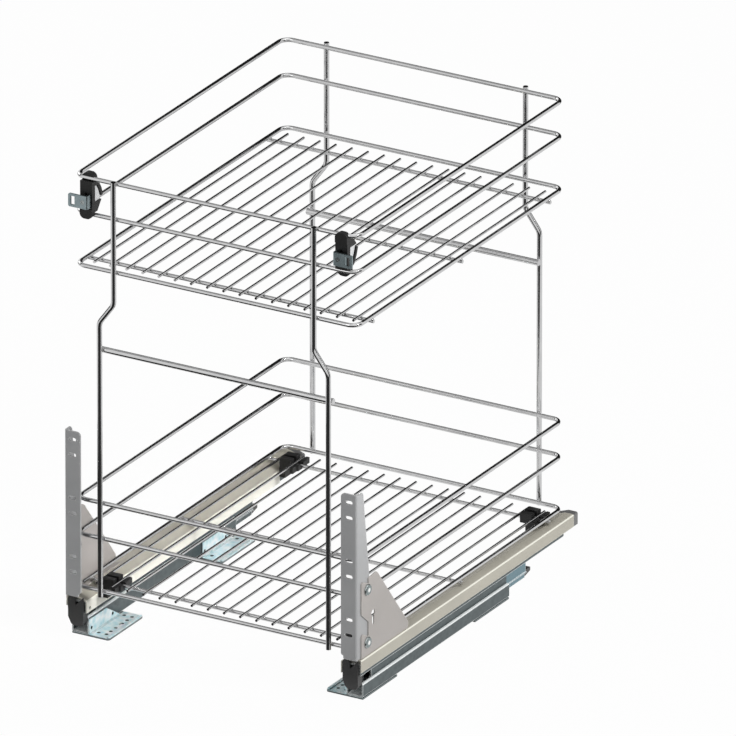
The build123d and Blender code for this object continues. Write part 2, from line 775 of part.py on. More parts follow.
# Gusset plate outside the bracket's flange: two forward tabs, a sloping rear edge, a
# keyhole, and a foot that stands on the rail.
gusset_y = door_y + gusset_setback
gusset_x = flange_x + gusset_sheet  # outer face
dip_z = rail_top_z + gusset_top - gusset_dip
foot_rear_y = gusset_y + gusset_length - gusset_foot_end
with BuildPart() as gusset_plate:
    with BuildSketch(Plane.YZ.offset(flange_x)):
        with BuildLine():
            Polyline(
                (gusset_y, rail_top_z),
                (gusset_y, rail_top_z + gusset_tab_low),
                (gusset_y + gusset_recess, rail_top_z + gusset_recess_low),
                (gusset_y + gusset_recess, rail_top_z + gusset_recess_high),
                (gusset_y, rail_top_z + gusset_tab_high),
                (gusset_y, rail_top_z + gusset_top),
                (gusset_y + gusset_recess, dip_z),
                (gusset_y + gusset_recess, rail_top_z + gusset_top - gusset_notch),
                (gusset_y + gusset_apex, rail_top_z + gusset_height),
                (gusset_y + gusset_length, rail_top_z),
                (gusset_y, rail_top_z),
            )
        make_face()
        front = vertices().group_by(Axis.X)[0].sort_by(Axis.Y)
        fillet([front[1], front[3]], gusset_tab_round)
        fillet(vertices().sort_by(Axis.Y)[-1], gusset_round)
        fillet(vertices().sort_by(Axis.X)[-1], gusset_round)
        with Locations(*screw_places):
            Circle(screw_shank / 2 + screw_play, mode=Mode.SUBTRACT)
        with Locations((door_y + keyhole_depth, rail_top_z + keyhole_z)):
            Circle(keyhole_round / 2, mode=Mode.SUBTRACT)
            with Locations((0, (keyhole_slot / 2 - keyhole_drop) / 2)):
                SlotOverall(
                    keyhole_drop + keyhole_slot / 2,
                    keyhole_slot,
                    rotation=90,
                    mode=Mode.SUBTRACT,
                )
    extrude(amount=gusset_sheet)
    with BuildSketch(Plane.XY.offset(rail_top_z)):
        with Locations((gusset_x, gusset_y)):
            Rectangle(gusset_foot, foot_rear_y - gusset_y, align=(Align.MAX, Align.MIN))
    extrude(amount=gusset_sheet)
    # the outside of the fold is round
    with BuildSketch(Plane.XZ.offset(-foot_rear_y)):
        with Locations((gusset_x, rail_top_z)):
            Rectangle(gusset_fold, gusset_fold, align=(Align.MAX, Align.MIN))
        with Locations((gusset_x - gusset_fold, rail_top_z + gusset_fold)):
            Circle(gusset_fold, mode=Mode.SUBTRACT)
    extrude(amount=foot_rear_y - gusset_y, mode=Mode.SUBTRACT)
save_pair(gusset_plate.part, "gusset_plate")

# Round-headed screws through gusset and flange.
with BuildPart() as bracket_screws:
    with BuildSketch(Plane.YZ.offset(gusset_x)):
        with Locations(*screw_places):
            Circle(screw_head / 2)
    extrude(amount=screw_head_height)
    fillet(bracket_screws.faces().group_by(Axis.X)[-1].edges(), screw_dome)
    with BuildSketch(Plane.YZ.offset(gusset_x)):
        with Locations(*screw_places):
            Circle(screw_shank / 2)
    extrude(amount=-(gusset_sheet + flange_sheet + bracket_sheet))
    mirror(about=Plane.YZ)
save(bracket_screws.part, "bracket_screws")

# ======== basket holders ========

holder_top_z = rail_top_z + holder_top
groove = cross_wire + 2 * clip_play
groove_low_z = cross_z - cross_wire / 2 - clip_play
holder_low_z = groove_low_z - holder_wall
thin_groove = floor_wire + 2 * clip_play
strip_top_z = cross_z + floor_z
thin_low_z = strip_top_z - floor_wire / 2 - clip_play
lug_low_z = holder_low_z - holder_lug_drop
slope = rail_slope_drop / (rail_width - rail_flat)  # rise of the rail's top per millimetre


def holder(wire_x, y, side):
    """A clip that takes a cross wire and one floor wire, with a lug on the rail."""
    x = wire_x - holder_offset
    right_x = x + holder_width / 2
    front_y, rear_y = y - holder_front, y + holder_rear
    wall_x = side * (rail_x - rail_half)
    foot_x = wall_x + holder_foot
    strip_x = wire_x + holder_strip_gap
    with BuildPart() as block:
        with BuildSketch(Plane.XY.offset(holder_low_z)):
            with Locations((x, (front_y + rear_y) / 2)):
                RectangleRounded(holder_width, rear_y - front_y, holder_round)
        extrude(amount=holder_top_z - holder_low_z)
        chamfer(block.faces().sort_by(Axis.Z)[-1].edges(), holder_round / 2)
        # outside the floor wire the holder is only as high as that wire's centre line,
        # and runs on forwards and backwards as a strip
        with BuildSketch(Plane.XY.offset(strip_top_z)):
            with Locations((wire_x, y)):
                Rectangle(holder_width, holder_strip, align=(Align.MIN, Align.CENTER))
        extrude(amount=holder_top_z - strip_top_z, mode=Mode.SUBTRACT)
        with BuildSketch(Plane.XY.offset(holder_low_z)):
            with Locations((strip_x, y)):
                Rectangle(
                    right_x - holder_round - strip_x,
                    holder_strip,
                    align=(Align.MIN, Align.CENTER),
                )
        extrude(amount=strip_top_z - holder_low_z)
        # lug against the inner wall of the rail; a holder that reaches over the rail
        # also fills the space down to its sloping top
        with BuildSketch(Plane.XZ.offset(-(rear_y - holder_round))):
            with BuildLine():
                Polyline(
                    (wall_x, holder_low_z),
                    (wall_x - side * holder_lug, holder_low_z),
                    (wall_x - side * holder_lug, lug_low_z),
                    (wall_x, lug_low_z),
                    (wall_x, holder_low_z),
                )
            make_face()
            if side > 0:
                with BuildLine():
                    Polyline(
                        (wall_x, rail_edge_z),
                        (foot_x, rail_edge_z + slope * holder_foot),
                        (foot_x, holder_low_z),
                        (wall_x, holder_low_z),
                        (wall_x, rail_edge_z),
                    )
                make_face()
        extrude(amount=rear_y - front_y - 2 * holder_round)
        with BuildSketch(Plane.XY.offset(groove_low_z)):
            with Locations((x, y)):
                Rectangle(2 * holder_width, groove)
        extrude(amount=holder_top_z - groove_low_z, mode=Mode.SUBTRACT)
        with BuildSketch(Plane.XY.offset(thin_low_z)):
            with Locations((wire_x, y)):
                Rectangle(thin_groove, 2 * holder_strip)
        extrude(amount=holder_top_z - thin_low_z, mode=Mode.SUBTRACT)
    return block.part


last_wire_x = floor_wire_pitch * (floor_wire_count - 1) / 2
for place, y in (("front", basket_y - cross_y), ("rear", basket_y + cross_y)):
    save(holder(last_wire_x, y, 1), f"right_{place}_holder")
    save(holder(floor_wire_pitch - last_wire_x, y, -1), f"left_{place}_holder")

# ======== door clips ========

# Drawn for the left clip in the Y-Z plane, from the middle between the two front wires
# that it holds; the right clip is the same piece turned upside down.
clip_plane = Plane(
    origin=(-clip_x - clip_width / 2, clip_y, clip_z), x_dir=(0, 1, 0), z_dir=(1, 0, 0)
)
clip_bore = ring_wire / 2 + clip_play
cap_low = clip_half + clip_bore
foot_high = -clip_half - clip_bore
front_face = -clip_front + hook_screw_sink
arm_outline = (
    (0.0, 18.0),
    (9.5, 15.4),
    (15.2, 6.4),
    (18.3, -2.6),
    (15.0, -3.4),
    (11.8, 4.8),
    (7.6, 11.6),
    (0.0, 13.6),
)
wedge_outline = ((0.0, -7.5), (15.0, -7.5), (6.4, -18.7), (0.0, -18.7))
insert_outline = (
    (clip_back, -7.3),
    (14.2, -7.3),
    (14.4, -3.4),
    (11.3, 4.6),
    (7.1, 11.0),
    (clip_back, 12.8),
)


def turned(piece):
    """The same piece turned half round about the Y axis through the clip's middle."""
    return piece.rotate(Axis((0, 0, clip_z), (0, 1, 0)), 180)


def save_turned_pair(piece, name):
    """Write the left-hand piece and the same piece turned over for the right."""
    save(piece, f"left_{name}")
    save(turned(piece), f"right_{name}")


with BuildPart() as clip_body:
    with BuildSketch(clip_plane):
        with BuildLine():
            Polyline(
                (-clip_front, foot_high - clip_foot),
                (clip_back, foot_high - clip_foot),
                (clip_back, cap_low - 2 * clip_bore),
                (clip_bore + clip_cap, cap_low - 2 * clip_bore),
                (clip_bore + clip_cap, cap_low + clip_cap),
                (-clip_back, cap_low + clip_cap),
                (-clip_back, cap_low - 2 * clip_bore),
                (front_face, cap_low - 2 * clip_bore),
                (front_face, foot_high + 4 * clip_bore),
                (-clip_front, foot_high + 4 * clip_bore),
                (-clip_front, foot_high - clip_foot),
            )
        make_face()
        Polygon(*arm_outline, align=None)
        Polygon(*wedge_outline, align=None)
        with Locations((0, clip_half)):
            Rectangle(
                clip_front,
                2 * clip_bore,
                align=(Align.MAX, Align.CENTER),
                mode=Mode.SUBTRACT,
            )
        with Locations((0, -clip_half)):
            Rectangle(
                clip_front,
                2 * clip_bore,
                align=(Align.MIN, Align.CENTER),
                mode=Mode.SUBTRACT,
            )
    extrude(amount=clip_width)
    with BuildSketch(Plane.XZ.offset(-(clip_y + hook_width))):
        with Locations((-clip_x, clip_z + (cap_low + clip_cap + foot_high - clip_foot) / 2)):
            RectangleRounded(
                clip_width, cap_low + clip_cap - foot_high + clip_foot, clip_round
            )
    extrude(amount=2 * hook_width, mode=Mode.INTERSECT)
    for ring_z in (clip_z - clip_half, clip_z + clip_half):
        add(ring(ring_z, 2 * clip_bore), mode=Mode.SUBTRACT)
    # two screw holes, so that the piece can be used either way up
    with BuildSketch(Plane.XZ.offset(-(clip_y + front_face))):
        with Locations((-clip_x, clip_z - hook_drop), (-clip_x, clip_z + hook_drop)):
            Circle(hook_screw / 2 + screw_play)
    extrude(amount=-hook_screw_depth, mode=Mode.SUBTRACT)
save_turned_pair(clip_body.part, "clip_body")

with BuildPart() as clip_insert:
    with BuildSketch(clip_plane.offset(hook_sheet)):
        with BuildLine():
            Polyline(*insert_outline, close=True)
        make_face()
    extrude(amount=clip_width - 2 * hook_sheet)
save_turned_pair(clip_insert.part, "clip_insert")

# Plate that hooks on the door, folded back to the front of the clip's body.
hook_face_y = clip_y + front_face
hook_z = clip_z - hook_drop
with BuildPart() as hook_plate:
    with BuildSketch(Plane.XZ.offset(-(door_y + hook_sheet))):
        with Locations((hook_x, hook_z)):
            Rectangle(hook_width, hook_height)
        fillet(vertices().group_by(Axis.X)[-1], hook_corner)
        with Locations((clip_x, hook_z)):
            Circle(hook_screw / 2 + screw_play, mode=Mode.SUBTRACT)
        with Locations((hook_x + hook_width / 2 - window_inset, hook_z)):
            Rectangle(window_width, window_height, mode=Mode.SUBTRACT)
    extrude(amount=hook_sheet)
    with BuildSketch(Plane.XZ.offset(-hook_face_y)):
        with Locations((hook_x - hook_width / 2, hook_z)):
            Rectangle(profile_sheet, hook_height, align=(Align.MIN, Align.CENTER))
    extrude(amount=hook_face_y - door_y - hook_sheet)
    with BuildSketch(Plane.XZ.offset(-door_y)):
        with Locations((clip_x, hook_z)):
            Circle(hook_screw_head / 2 + screw_play)
    extrude(amount=-hook_screw_sink, mode=Mode.SUBTRACT)
    fold = hook_plate.edges().filter_by(Axis.Z).filter_by_position(Axis.Y, door_y, door_y)
    fillet(fold.sort_by(Axis.X)[0], profile_sheet)
save_pair(hook_plate.part, "hook_plate")

with BuildPart() as hook_screws:
    with BuildSketch(Plane.XZ.offset(-door_y)):
        with Locations((clip_x, hook_z)):
            Circle(hook_screw_head / 2)
    extrude(amount=-hook_screw_sink)
    with BuildSketch(Plane.XZ.offset(-(door_y + hook_screw_sink / 2))):
        with Locations((clip_x, hook_z)):
            RegularPolygon(hook_screw / 2, 6)
    extrude(amount=hook_screw_sink, mode=Mode.SUBTRACT)
    with BuildSketch(Plane.XZ.offset(-(door_y + hook_screw_sink))):
        with Locations((clip_x, hook_z)):
            Circle(hook_screw / 2)
    extrude(amount=-(hook_face_y + hook_screw_depth - end_play - door_y - hook_screw_sink))
    mirror(about=Plane.YZ)
save(hook_screws.part, "hook_screws")
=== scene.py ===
"""Looks of the two-tier pull-out cabinet basket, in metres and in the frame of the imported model.
Front, where the cabinet's door is screwed on, is -Y, and the cabinet's floor is Z = 0."""

import json
import math

import bpy
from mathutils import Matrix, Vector


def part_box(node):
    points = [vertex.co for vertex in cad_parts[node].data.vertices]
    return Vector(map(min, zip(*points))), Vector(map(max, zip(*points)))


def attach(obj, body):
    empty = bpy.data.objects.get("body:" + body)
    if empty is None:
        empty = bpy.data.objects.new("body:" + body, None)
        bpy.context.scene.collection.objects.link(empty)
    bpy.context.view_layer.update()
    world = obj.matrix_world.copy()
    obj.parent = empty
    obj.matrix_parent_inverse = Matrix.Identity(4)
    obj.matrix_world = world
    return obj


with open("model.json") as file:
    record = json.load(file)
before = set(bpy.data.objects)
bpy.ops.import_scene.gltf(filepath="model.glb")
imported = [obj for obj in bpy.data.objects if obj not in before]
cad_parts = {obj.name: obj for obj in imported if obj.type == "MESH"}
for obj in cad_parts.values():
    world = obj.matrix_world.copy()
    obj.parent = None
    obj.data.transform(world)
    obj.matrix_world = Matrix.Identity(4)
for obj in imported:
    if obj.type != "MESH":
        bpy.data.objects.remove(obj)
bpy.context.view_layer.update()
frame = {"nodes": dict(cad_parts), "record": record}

NODES = frame["nodes"]
MM = 0.001

# ---- camera: read off the two baskets, whose rings fix the direction and the scale ----
VIEW_AZIMUTH = math.radians(30.06)  # from straight in front, towards +X
VIEW_ELEVATION = math.radians(22.99)
VIEW_DISTANCE = 34.305
VIEW_RIGHT = 0.05316  # the picture's middle, from the middle of the lower basket's floor
VIEW_UP = 0.19979
LENS = 1500.0
SENSOR = 36.0

# ---- finishes ----
WALL_IN = -0.15  # Finish.outwards on a rail's wall that faces the middle of the basket
WALL_OUT = 0.12  # and on a runner's wall that faces away from it
FOOT_TOP = 2.0 * MM  # of the feet's plates; below it are their cut edges
COLOUR_SOCKETS = (6, 7)  # of a Mix node set to colours; the result is its output 2

# ---- weld beads, in millimetres along X, Y and Z ----
FLOOR_WELD = (3.2, 3.4, 1.8)  # floor wire on cross wire
CROSS_WELD = (4.8, 4.4, 2.6)  # cross wire under the bottom ring
POST_WELD = (5.2, 2.4, 4.6)  # post against a ring
BAR_WELD = (5.4, 2.8, 6.0)  # post against a cross bar
FLOOR_WIRES = 17
RIM_GROWTH = 1.12  # a bead is squeezed out a little at mid-height

# ---- studio: what the wires mirror, and the lamps ----
WHITE = (1.0, 1.0, 1.0, 1.0)
BLACK = (0.0, 0.0, 0.0, 1.0)
FLOOR_GREY = (0.74, 0.74, 0.74, 1.0)
FLOOR_GLOW = 0.97  # share of pure white in the floor where it is seen or mirrored
AMBIENT = 0.26  # strength of the world as a light; it is 1 where it is seen or mirrored
UPRIGHT = (math.pi / 2, 0.0, 0.0)
SIDEWAYS = (math.pi / 2, 0.0, math.pi / 2)
LEVEL = (0.0, 0.0, 0.0)
CARDS = (  # name, place, size, turn, brightness
    ("rear_card", (-0.25, 2.2, 1.36), (3.1, 2.68), UPRIGHT, 0.0),
    ("rear_floor_card", (-0.95, 1.25, 0.002), (1.7, 1.9), LEVEL, 0.0),
    ("front_card", (0.95, -1.88, 0.002), (3.1, 3.2), LEVEL, 0.0),
    ("overhead_card", (-1.3, 0.2, 2.4), (1.6, 2.2), LEVEL, 0.45),
    ("right_card", (2.7, 0.0, 1.5), (2.2, 3.0), SIDEWAYS, 0.03),
    ("left_card", (-2.7, 0.0, 1.5), (2.2, 3.0), SIDEWAYS, 0.03),
)
WIDE = 180.0  # degrees a lamp's light spreads over
NARROW = 10.0
LAMPS = (  # name, place, aim, size, watts, spread
    ("side_box", (5.2, -0.3, 3.8), (0.0, 0.0, 0.2), (2.6, 2.6), 250.0, WIDE),
    ("front_box", (-0.8, -3.8, 2.2), (0.0, 0.0, 0.3), (2.0, 2.0), 22.0, WIDE),
    ("top_box", (0.0, 0.3, 2.9), (0.0, 0.0, 0.2), (1.6, 1.6), 6.0, WIDE),
    ("left_box", (-2.4, 0.4, 1.2), (0.0, 0.0, 0.25), (1.4, 1.4), 14.0, WIDE),
    ("rail_box", (0.95, 0.0, 1.05), (-0.17, 0.0, 0.03), (0.6, 0.2), 0.15, NARROW),
)


def deselect_all():
    """Operators act on what is selected, so nothing is left selected."""
    bpy.ops.object.select_all(action="DESELECT")


# ======== materials ========


class Finish:
    """A material under way: its shader, and a short way to add and join nodes."""

    def __init__(self, name):
        self.material = bpy.data.materials.new(name)
        self.material.use_nodes = True
        self.tree = self.material.node_tree
        self.shader = self.tree.nodes["Principled BSDF"]
        self.place = self.node("ShaderNodeTexCoord").outputs["Object"]

    def node(self, kind, **settings):
        made = self.tree.nodes.new(kind)
        for key, value in settings.items():
            if key in made.inputs:
                made.inputs[key].default_value = value
            else:
                setattr(made, key, value)
        return made

    def join(self, source, target):
        self.tree.links.new(source, target)

    def stretch(self, scale):
        """Object coordinates stretched along an axis, for drawn or rolled metal."""
        mapping = self.node("ShaderNodeMapping")
        mapping.inputs["Scale"].default_value = scale
        self.join(self.place, mapping.inputs["Vector"])
        return mapping.outputs["Vector"]

    def noise(self, scale, detail=3.0, roughness=0.5, where=None):
        made = self.node("ShaderNodeTexNoise", Scale=scale, Detail=detail, Roughness=roughness)
        self.join(where or self.place, made.inputs["Vector"])
        return made.outputs["Fac"]

    def ramp(self, source, stops):
        """Colours along a value, from (position, colour) pairs."""
        made = self.node("ShaderNodeValToRGB")
        elements = made.color_ramp.elements
        while len(elements) < len(stops):
            elements.new(0.5)
        for element, (position, colour) in zip(elements, stops):
            element.position = position
            element.color = (*colour, 1.0)
        self.join(source, made.inputs["Fac"])
        return made.outputs["Color"]

    def range(self, source, low, high):
        """A value from 0 to 1, brought to low to high."""
        made = self.node("ShaderNodeMapRange")
        made.inputs["To Min"].default_value = low
        made.inputs["To Max"].default_value = high
        self.join(source, made.inputs["Value"])
        return made.outputs["Result"]

    def edges(self, radius):
        """1 along the piece's sharp edges, 0 on its flats."""
        rounded = self.node("ShaderNodeBevel", Radius=radius)
        flat = self.node("ShaderNodeNewGeometry").outputs["Normal"]
        likeness = self.node("ShaderNodeVectorMath", operation="DOT_PRODUCT")
        self.join(rounded.outputs["Normal"], likeness.inputs[0])
        self.join(flat, likeness.inputs[1])
        return self.step(likeness.outputs["Value"], 0.995, 0.90)

    def step(self, source, low, high):
        """0 up to low and 1 from high on, or the other way round when high is the lower."""
        mask = self.node("ShaderNodeMapRange")
        mask.inputs["From Min"].default_value = low
        mask.inputs["From Max"].default_value = high
        self.join(source, mask.inputs["Value"])
        return mask.outputs["Result"]

    def facing(self, axis):
        """How far a face looks along an axis of the piece, from -1 to 1."""
        parts = self.node("ShaderNodeSeparateXYZ")
        self.join(self.node("ShaderNodeTexCoord").outputs["Normal"], parts.inputs["Vector"])
        return parts.outputs[axis]

    def along(self, axis):
        """Place along an axis of the piece, in metres."""
        parts = self.node("ShaderNodeSeparateXYZ")
        self.join(self.place, parts.inputs["Vector"])
        return parts.outputs[axis]

    def maths(self, operation, one, other=None):
        made = self.node("ShaderNodeMath", operation=operation)
        for source, socket in ((one, made.inputs[0]), (other, made.inputs[1])):
            if isinstance(source, float):
                socket.default_value = source
            elif source:
                self.join(source, socket)
        return made.outputs[0]

    def hollows(self, distance):
        """1 in the open, 0 inside holes and narrow gaps, where painted shade goes."""
        shade = self.node("ShaderNodeAmbientOcclusion", Distance=distance)
        return self.step(shade.outputs["AO"], 0.55, 0.90)

    def outwards(self):
        """About 0.18 on a runner's walls that face outwards, -0.18 on the inner ones."""
        return self.maths("MULTIPLY", self.along("X"), self.facing("X"))

    def blend(self, share, first, second):
        """The first colour where the share is 0, the second where it is 1."""
        made = self.node("ShaderNodeMix", data_type="RGBA")
        self.join(share, made.inputs["Factor"])
        for source, number in zip((first, second), COLOUR_SOCKETS):
            socket = made.inputs[number]
            if isinstance(source, tuple):
                socket.default_value = (*source, 1.0)
            else:
                self.join(source, socket)
        return made.outputs[2]

    def bump(self, source, strength, distance):
        made = self.node("ShaderNodeBump", Strength=strength, Distance=distance)
        self.join(source, made.inputs["Height"])
        self.join(made.outputs["Normal"], self.shader.inputs["Normal"])

    def set(self, **values):
        for key, value in values.items():
            self.shader.inputs[key.replace("_", " ")].default_value = value


def chromed_wire():
    """Chrome over drawn wire: nearly mirror-bright, with a faint draw texture."""
    finish = Finish("bright chromed wire")
    finish.set(Metallic=1.0)
    tint = finish.ramp(finish.noise(70.0), [(0.3, (0.53, 0.53, 0.535)), (0.7, (0.60, 0.60, 0.60))])
    finish.join(tint, finish.shader.inputs["Base Color"])
    finish.join(finish.range(finish.noise(240.0), 0.05, 0.11), finish.shader.inputs["Roughness"])
    finish.bump(finish.noise(900.0), 0.03, 0.0002)
    return finish.material


def powder_coat(name, light, dark, edge, roughness, inner=None):
    """Paint baked on as powder: a faint orange peel and cloudy colour, with a painted highlight
    along its thin edges.
    With inner, a rail's walls towards the middle take that paler colour as painted light, and its
    fold gets a painted highlight."""
    finish = Finish(name)
    cloud = finish.ramp(finish.noise(18.0), [(0.3, dark), (0.7, light)])
    # painted highlight: sharp edges take the pale edge colour
    bright = finish.edges(0.0009)
    if inner:
        # painted light: walls facing the middle, shaded by the baskets' wires, are painted paler
        cloud = finish.blend(finish.step(finish.outwards(), -0.08, WALL_IN), cloud, inner)
        # painted highlight on the rail's rounded fold, found by faces turned partly upwards
        up = finish.facing("Z")
        fold = finish.maths("MULTIPLY", finish.step(up, 0.10, 0.30), finish.step(up, 0.93, 0.85))
        bright = finish.maths("MAXIMUM", bright, fold)
    tint = finish.blend(bright, cloud, edge)
    finish.join(tint, finish.shader.inputs["Base Color"])
    wear = finish.range(finish.noise(90.0), roughness - 0.06, roughness + 0.08)
    finish.join(wear, finish.shader.inputs["Roughness"])
    finish.bump(finish.noise(1400.0), 0.12, 0.0003)
    return finish.material


def spangle_and_lines(finish, dark, light, roughness):
    """A fine zinc spangle, and faint lines along the rolling direction."""
    spangle = finish.node("ShaderNodeTexVoronoi", Scale=140.0)
    finish.join(finish.place, spangle.inputs["Vector"])
    lines = finish.noise(60.0, where=finish.stretch((12.0, 0.6, 12.0)))
    wear = finish.range(lines, roughness - 0.08, roughness + 0.10)
    finish.join(wear, finish.shader.inputs["Roughness"])
    finish.bump(lines, 0.10, 0.0002)
    return finish.ramp(spangle.outputs["Distance"], [(0.0, dark), (0.9, light)])


def zinc_plate(name, dark, light, roughness):
    """Zinc-plated sheet of the hook plates."""
    finish = Finish(name)
    finish.set(Metallic=1.0)
    tint = spangle_and_lines(finish, dark, light, roughness)
    finish.join(tint, finish.shader.inputs["Base Color"])
    return finish.material


def profile_zinc(name, lit_end=None):
    """Zinc on the runners' folded profiles: dull walls, with a painted highlight on lips, folds
    and edges.
    Behind the end given, a member's outward walls are painted paler: painted light where they
    leave the shade of the member they run in."""
    finish = Finish(name)
    wall = spangle_and_lines(finish, (0.066, 0.084, 0.088), (0.094, 0.118, 0.122), 0.36)
    if lit_end:
        outer = finish.step(finish.outwards(), 0.05, WALL_OUT)
        behind = finish.step(finish.along("Y"), lit_end - 0.002, lit_end + 0.001)
        # painted light: outward walls behind the end are painted paler, where they are out of the
        # shade
        wall = finish.blend(finish.maths("MULTIPLY", outer, behind), wall, (0.15, 0.245, 0.285))
    # painted highlight: faces turned up or down and sharp edges are painted near white and less
    # metallic
    fold = finish.step(finish.maths("ABSOLUTE", finish.facing("Z")), 0.15, 0.45)
    bright = finish.maths("MAXIMUM", fold, finish.edges(0.0012))
    tint = finish.blend(bright, wall, (0.96, 0.99, 0.99))
    finish.join(tint, finish.shader.inputs["Base Color"])
    finish.join(finish.range(bright, 0.6, 0.1), finish.shader.inputs["Metallic"])
    return finish.material


def foot_zinc():
    """The feet's bright bluish zinc, with painted shade inside the holes."""
    finish = Finish("bright foot zinc")
    finish.set(Metallic=0.15)
    plate = spangle_and_lines(finish, (0.46, 0.74, 0.80), (0.98, 1.0, 1.0), 0.38)
    low = finish.step(finish.along("Z"), FOOT_TOP + 0.4 * MM, FOOT_TOP)
    upright = finish.step(finish.facing("Z"), 0.6, 0.4)
    plate = finish.blend(finish.maths("MULTIPLY", low, upright), plate, (0.22, 0.27, 0.28))
    # painted shade: near black where ambient occlusion finds holes and narrow gaps
    tint = finish.blend(finish.hollows(0.003), (0.02, 0.03, 0.03), plate)
    finish.join(tint, finish.shader.inputs["Base Color"])
    return finish.material


def domed_screws(node):
    """Big domed screw heads: dark plating, with a painted highlight at the crown."""
    finish = Finish("domed screw steel")
    finish.set(Metallic=0.9)
    low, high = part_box(node)
    radius = (high.y - low.y) / 2
    middle_y = low.y + radius
    reach = []
    for middle_z in (low.z + radius, high.z - radius):
        across = finish.maths("SUBTRACT", finish.along("Y"), middle_y)
        upwards = finish.maths("SUBTRACT", finish.along("Z"), middle_z)
        square = finish.maths("MULTIPLY", across, across)
        square = finish.maths("ADD", square, finish.maths("MULTIPLY", upwards, upwards))
        reach.append(finish.maths("SQRT", square))
    share = finish.maths("DIVIDE", finish.maths("MINIMUM", *reach), radius)
    jitter = finish.noise(260.0)
    share = finish.maths("ADD", share, finish.maths("MULTIPLY", jitter, 0.06))
    # painted highlight: near white at each head's middle, dark plating towards the rim
    tint = finish.ramp(share, [
        (0.30, (0.95, 0.96, 0.94)), (0.46, (0.26, 0.30, 0.30)), (0.78, (0.20, 0.24, 0.24)),
        (0.96, (0.34, 0.37, 0.37)),
    ])
    finish.join(tint, finish.shader.inputs["Base Color"])
    finish.join(finish.range(jitter, 0.16, 0.26), finish.shader.inputs["Roughness"])
    finish.bump(finish.noise(1500.0), 0.05, 0.0002)
    return finish.material


def turned_steel(name, colour, roughness):
    """Steel turned or ground bright, as on rollers and screws."""
    finish = Finish(name)
    finish.set(Metallic=1.0)
    shade = finish.noise(120.0)
    tint = finish.ramp(shade, [(0.3, tuple(0.85 * c for c in colour)), (0.7, colour)])
    finish.join(tint, finish.shader.inputs["Base Color"])
    gloss = finish.range(shade, roughness - 0.06, roughness + 0.06)
    finish.join(gloss, finish.shader.inputs["Roughness"])
    finish.bump(finish.noise(1500.0), 0.06, 0.0002)
    return finish.material


def moulded_plastic(name, light, dark, roughness, shine=0.5):
    """Moulded plastic with the fine spark-eroded grain of its tool."""
    finish = Finish(name)
    finish.set(Specular_IOR_Level=shine)
    tint = finish.ramp(finish.noise(45.0), [(0.3, dark), (0.7, light)])
    finish.join(tint, finish.shader.inputs["Base Color"])
    gloss = finish.range(finish.noise(300.0), roughness - 0.07, roughness + 0.07)
    finish.join(gloss, finish.shader.inputs["Roughness"])
    finish.bump(finish.noise(2600.0), 0.15, 0.0002)
    return finish.material


# each paint: light and dark cloud colours, then the colour of its painted edge highlight
BEIGE = (0.52, 0.495, 0.42), (0.46, 0.44, 0.375), (0.93, 0.92, 0.82)
# painted light: the paler beige of rail walls facing the middle, which lie in the wires' shade
INNER_LIT_BEIGE = (0.93, 0.91, 0.82)
GREY = (0.44, 0.445, 0.45), (0.39, 0.395, 0.40), (0.70, 0.70, 0.69)
GUSSET_GREY = (0.45, 0.42, 0.40), (0.41, 0.385, 0.365), (0.66, 0.64, 0.60)
FINISHES = {
    "chrome_wire": chromed_wire(),
    "rail_paint": powder_coat("beige powder coat", *BEIGE, 0.42, INNER_LIT_BEIGE),
    "bracket_paint": powder_coat("grey powder coat", *GREY, 0.42),
    "zinc": profile_zinc("profile zinc"),
    "foot_zinc": foot_zinc(),
    "roller_steel": turned_steel("roller steel", (0.70, 0.71, 0.72), 0.26),
    "screw_steel": turned_steel("screw steel", (0.33, 0.36, 0.36), 0.20),
    "black_plastic": moulded_plastic("black nylon", (0.008,) * 3, (0.005,) * 3, 0.45, 0.35),
    "dark_plastic": moulded_plastic("charcoal nylon", (0.042,) * 3, (0.032,) * 3, 0.45),
    "light_plastic": moulded_plastic("white nylon", (0.78, 0.79, 0.80), (0.72, 0.73, 0.74), 0.40),
    "cage_plastic": moulded_plastic("natural nylon", (0.76, 0.75, 0.70), (0.70, 0.69, 0.64), 0.40),
}
OWN_FINISH = {
    "hook_plate": zinc_plate("hook plate zinc", (0.22, 0.275, 0.29), (0.30, 0.36, 0.375), 0.34),
    "gusset_plate": powder_coat("warm grey powder coat", *GUSSET_GREY, 0.42),
    "middle_profile": profile_zinc("middle profile zinc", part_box("left_cabinet_profile")[1].y),
    "screws": domed_screws("bracket_screws"),
    "rail_cap": moulded_plastic("rail cap nylon", (0.17,) * 3, (0.14,) * 3, 0.35),
}

for part in frame["record"]["subparts"]:
    skin = NODES[part["node"]].data.materials
    skin.clear()
    side, _, kind = part["node"].partition("_")
    own = None if side == "hook" else OWN_FINISH.get(kind)
    skin.append(own or FINISHES[part["material_slot"]])


# ======== welds ========


def weld_nugget(name, size):
    """The flattened swelling where two crossed wires are pressed and welded together."""
    deselect_all()
    bpy.ops.mesh.primitive_uv_sphere_add(segments=8, ring_count=6, radius=0.5, location=(0, 0, 0))
    nugget = bpy.context.object
    nugget.name = name
    nugget.scale = [side * MM for side in size]
    bpy.ops.object.transform_apply(scale=True)
    bpy.ops.object.mode_set(mode="EDIT")
    bpy.ops.mesh.select_mode(type="VERT")
    bpy.ops.mesh.select_all(action="DESELECT")
    bpy.ops.object.mode_set(mode="OBJECT")
    for corner in nugget.data.vertices:
        corner.select = abs(corner.co.z) < 0.05 * size[2] * MM
    bpy.ops.object.mode_set(mode="EDIT")
    bpy.ops.mesh.select_mode(type="VERT")
    bpy.ops.transform.resize(value=(RIM_GROWTH, RIM_GROWTH, 1.0))
    bpy.ops.object.mode_set(mode="OBJECT")
    bpy.ops.object.shade_smooth()
    return nugget


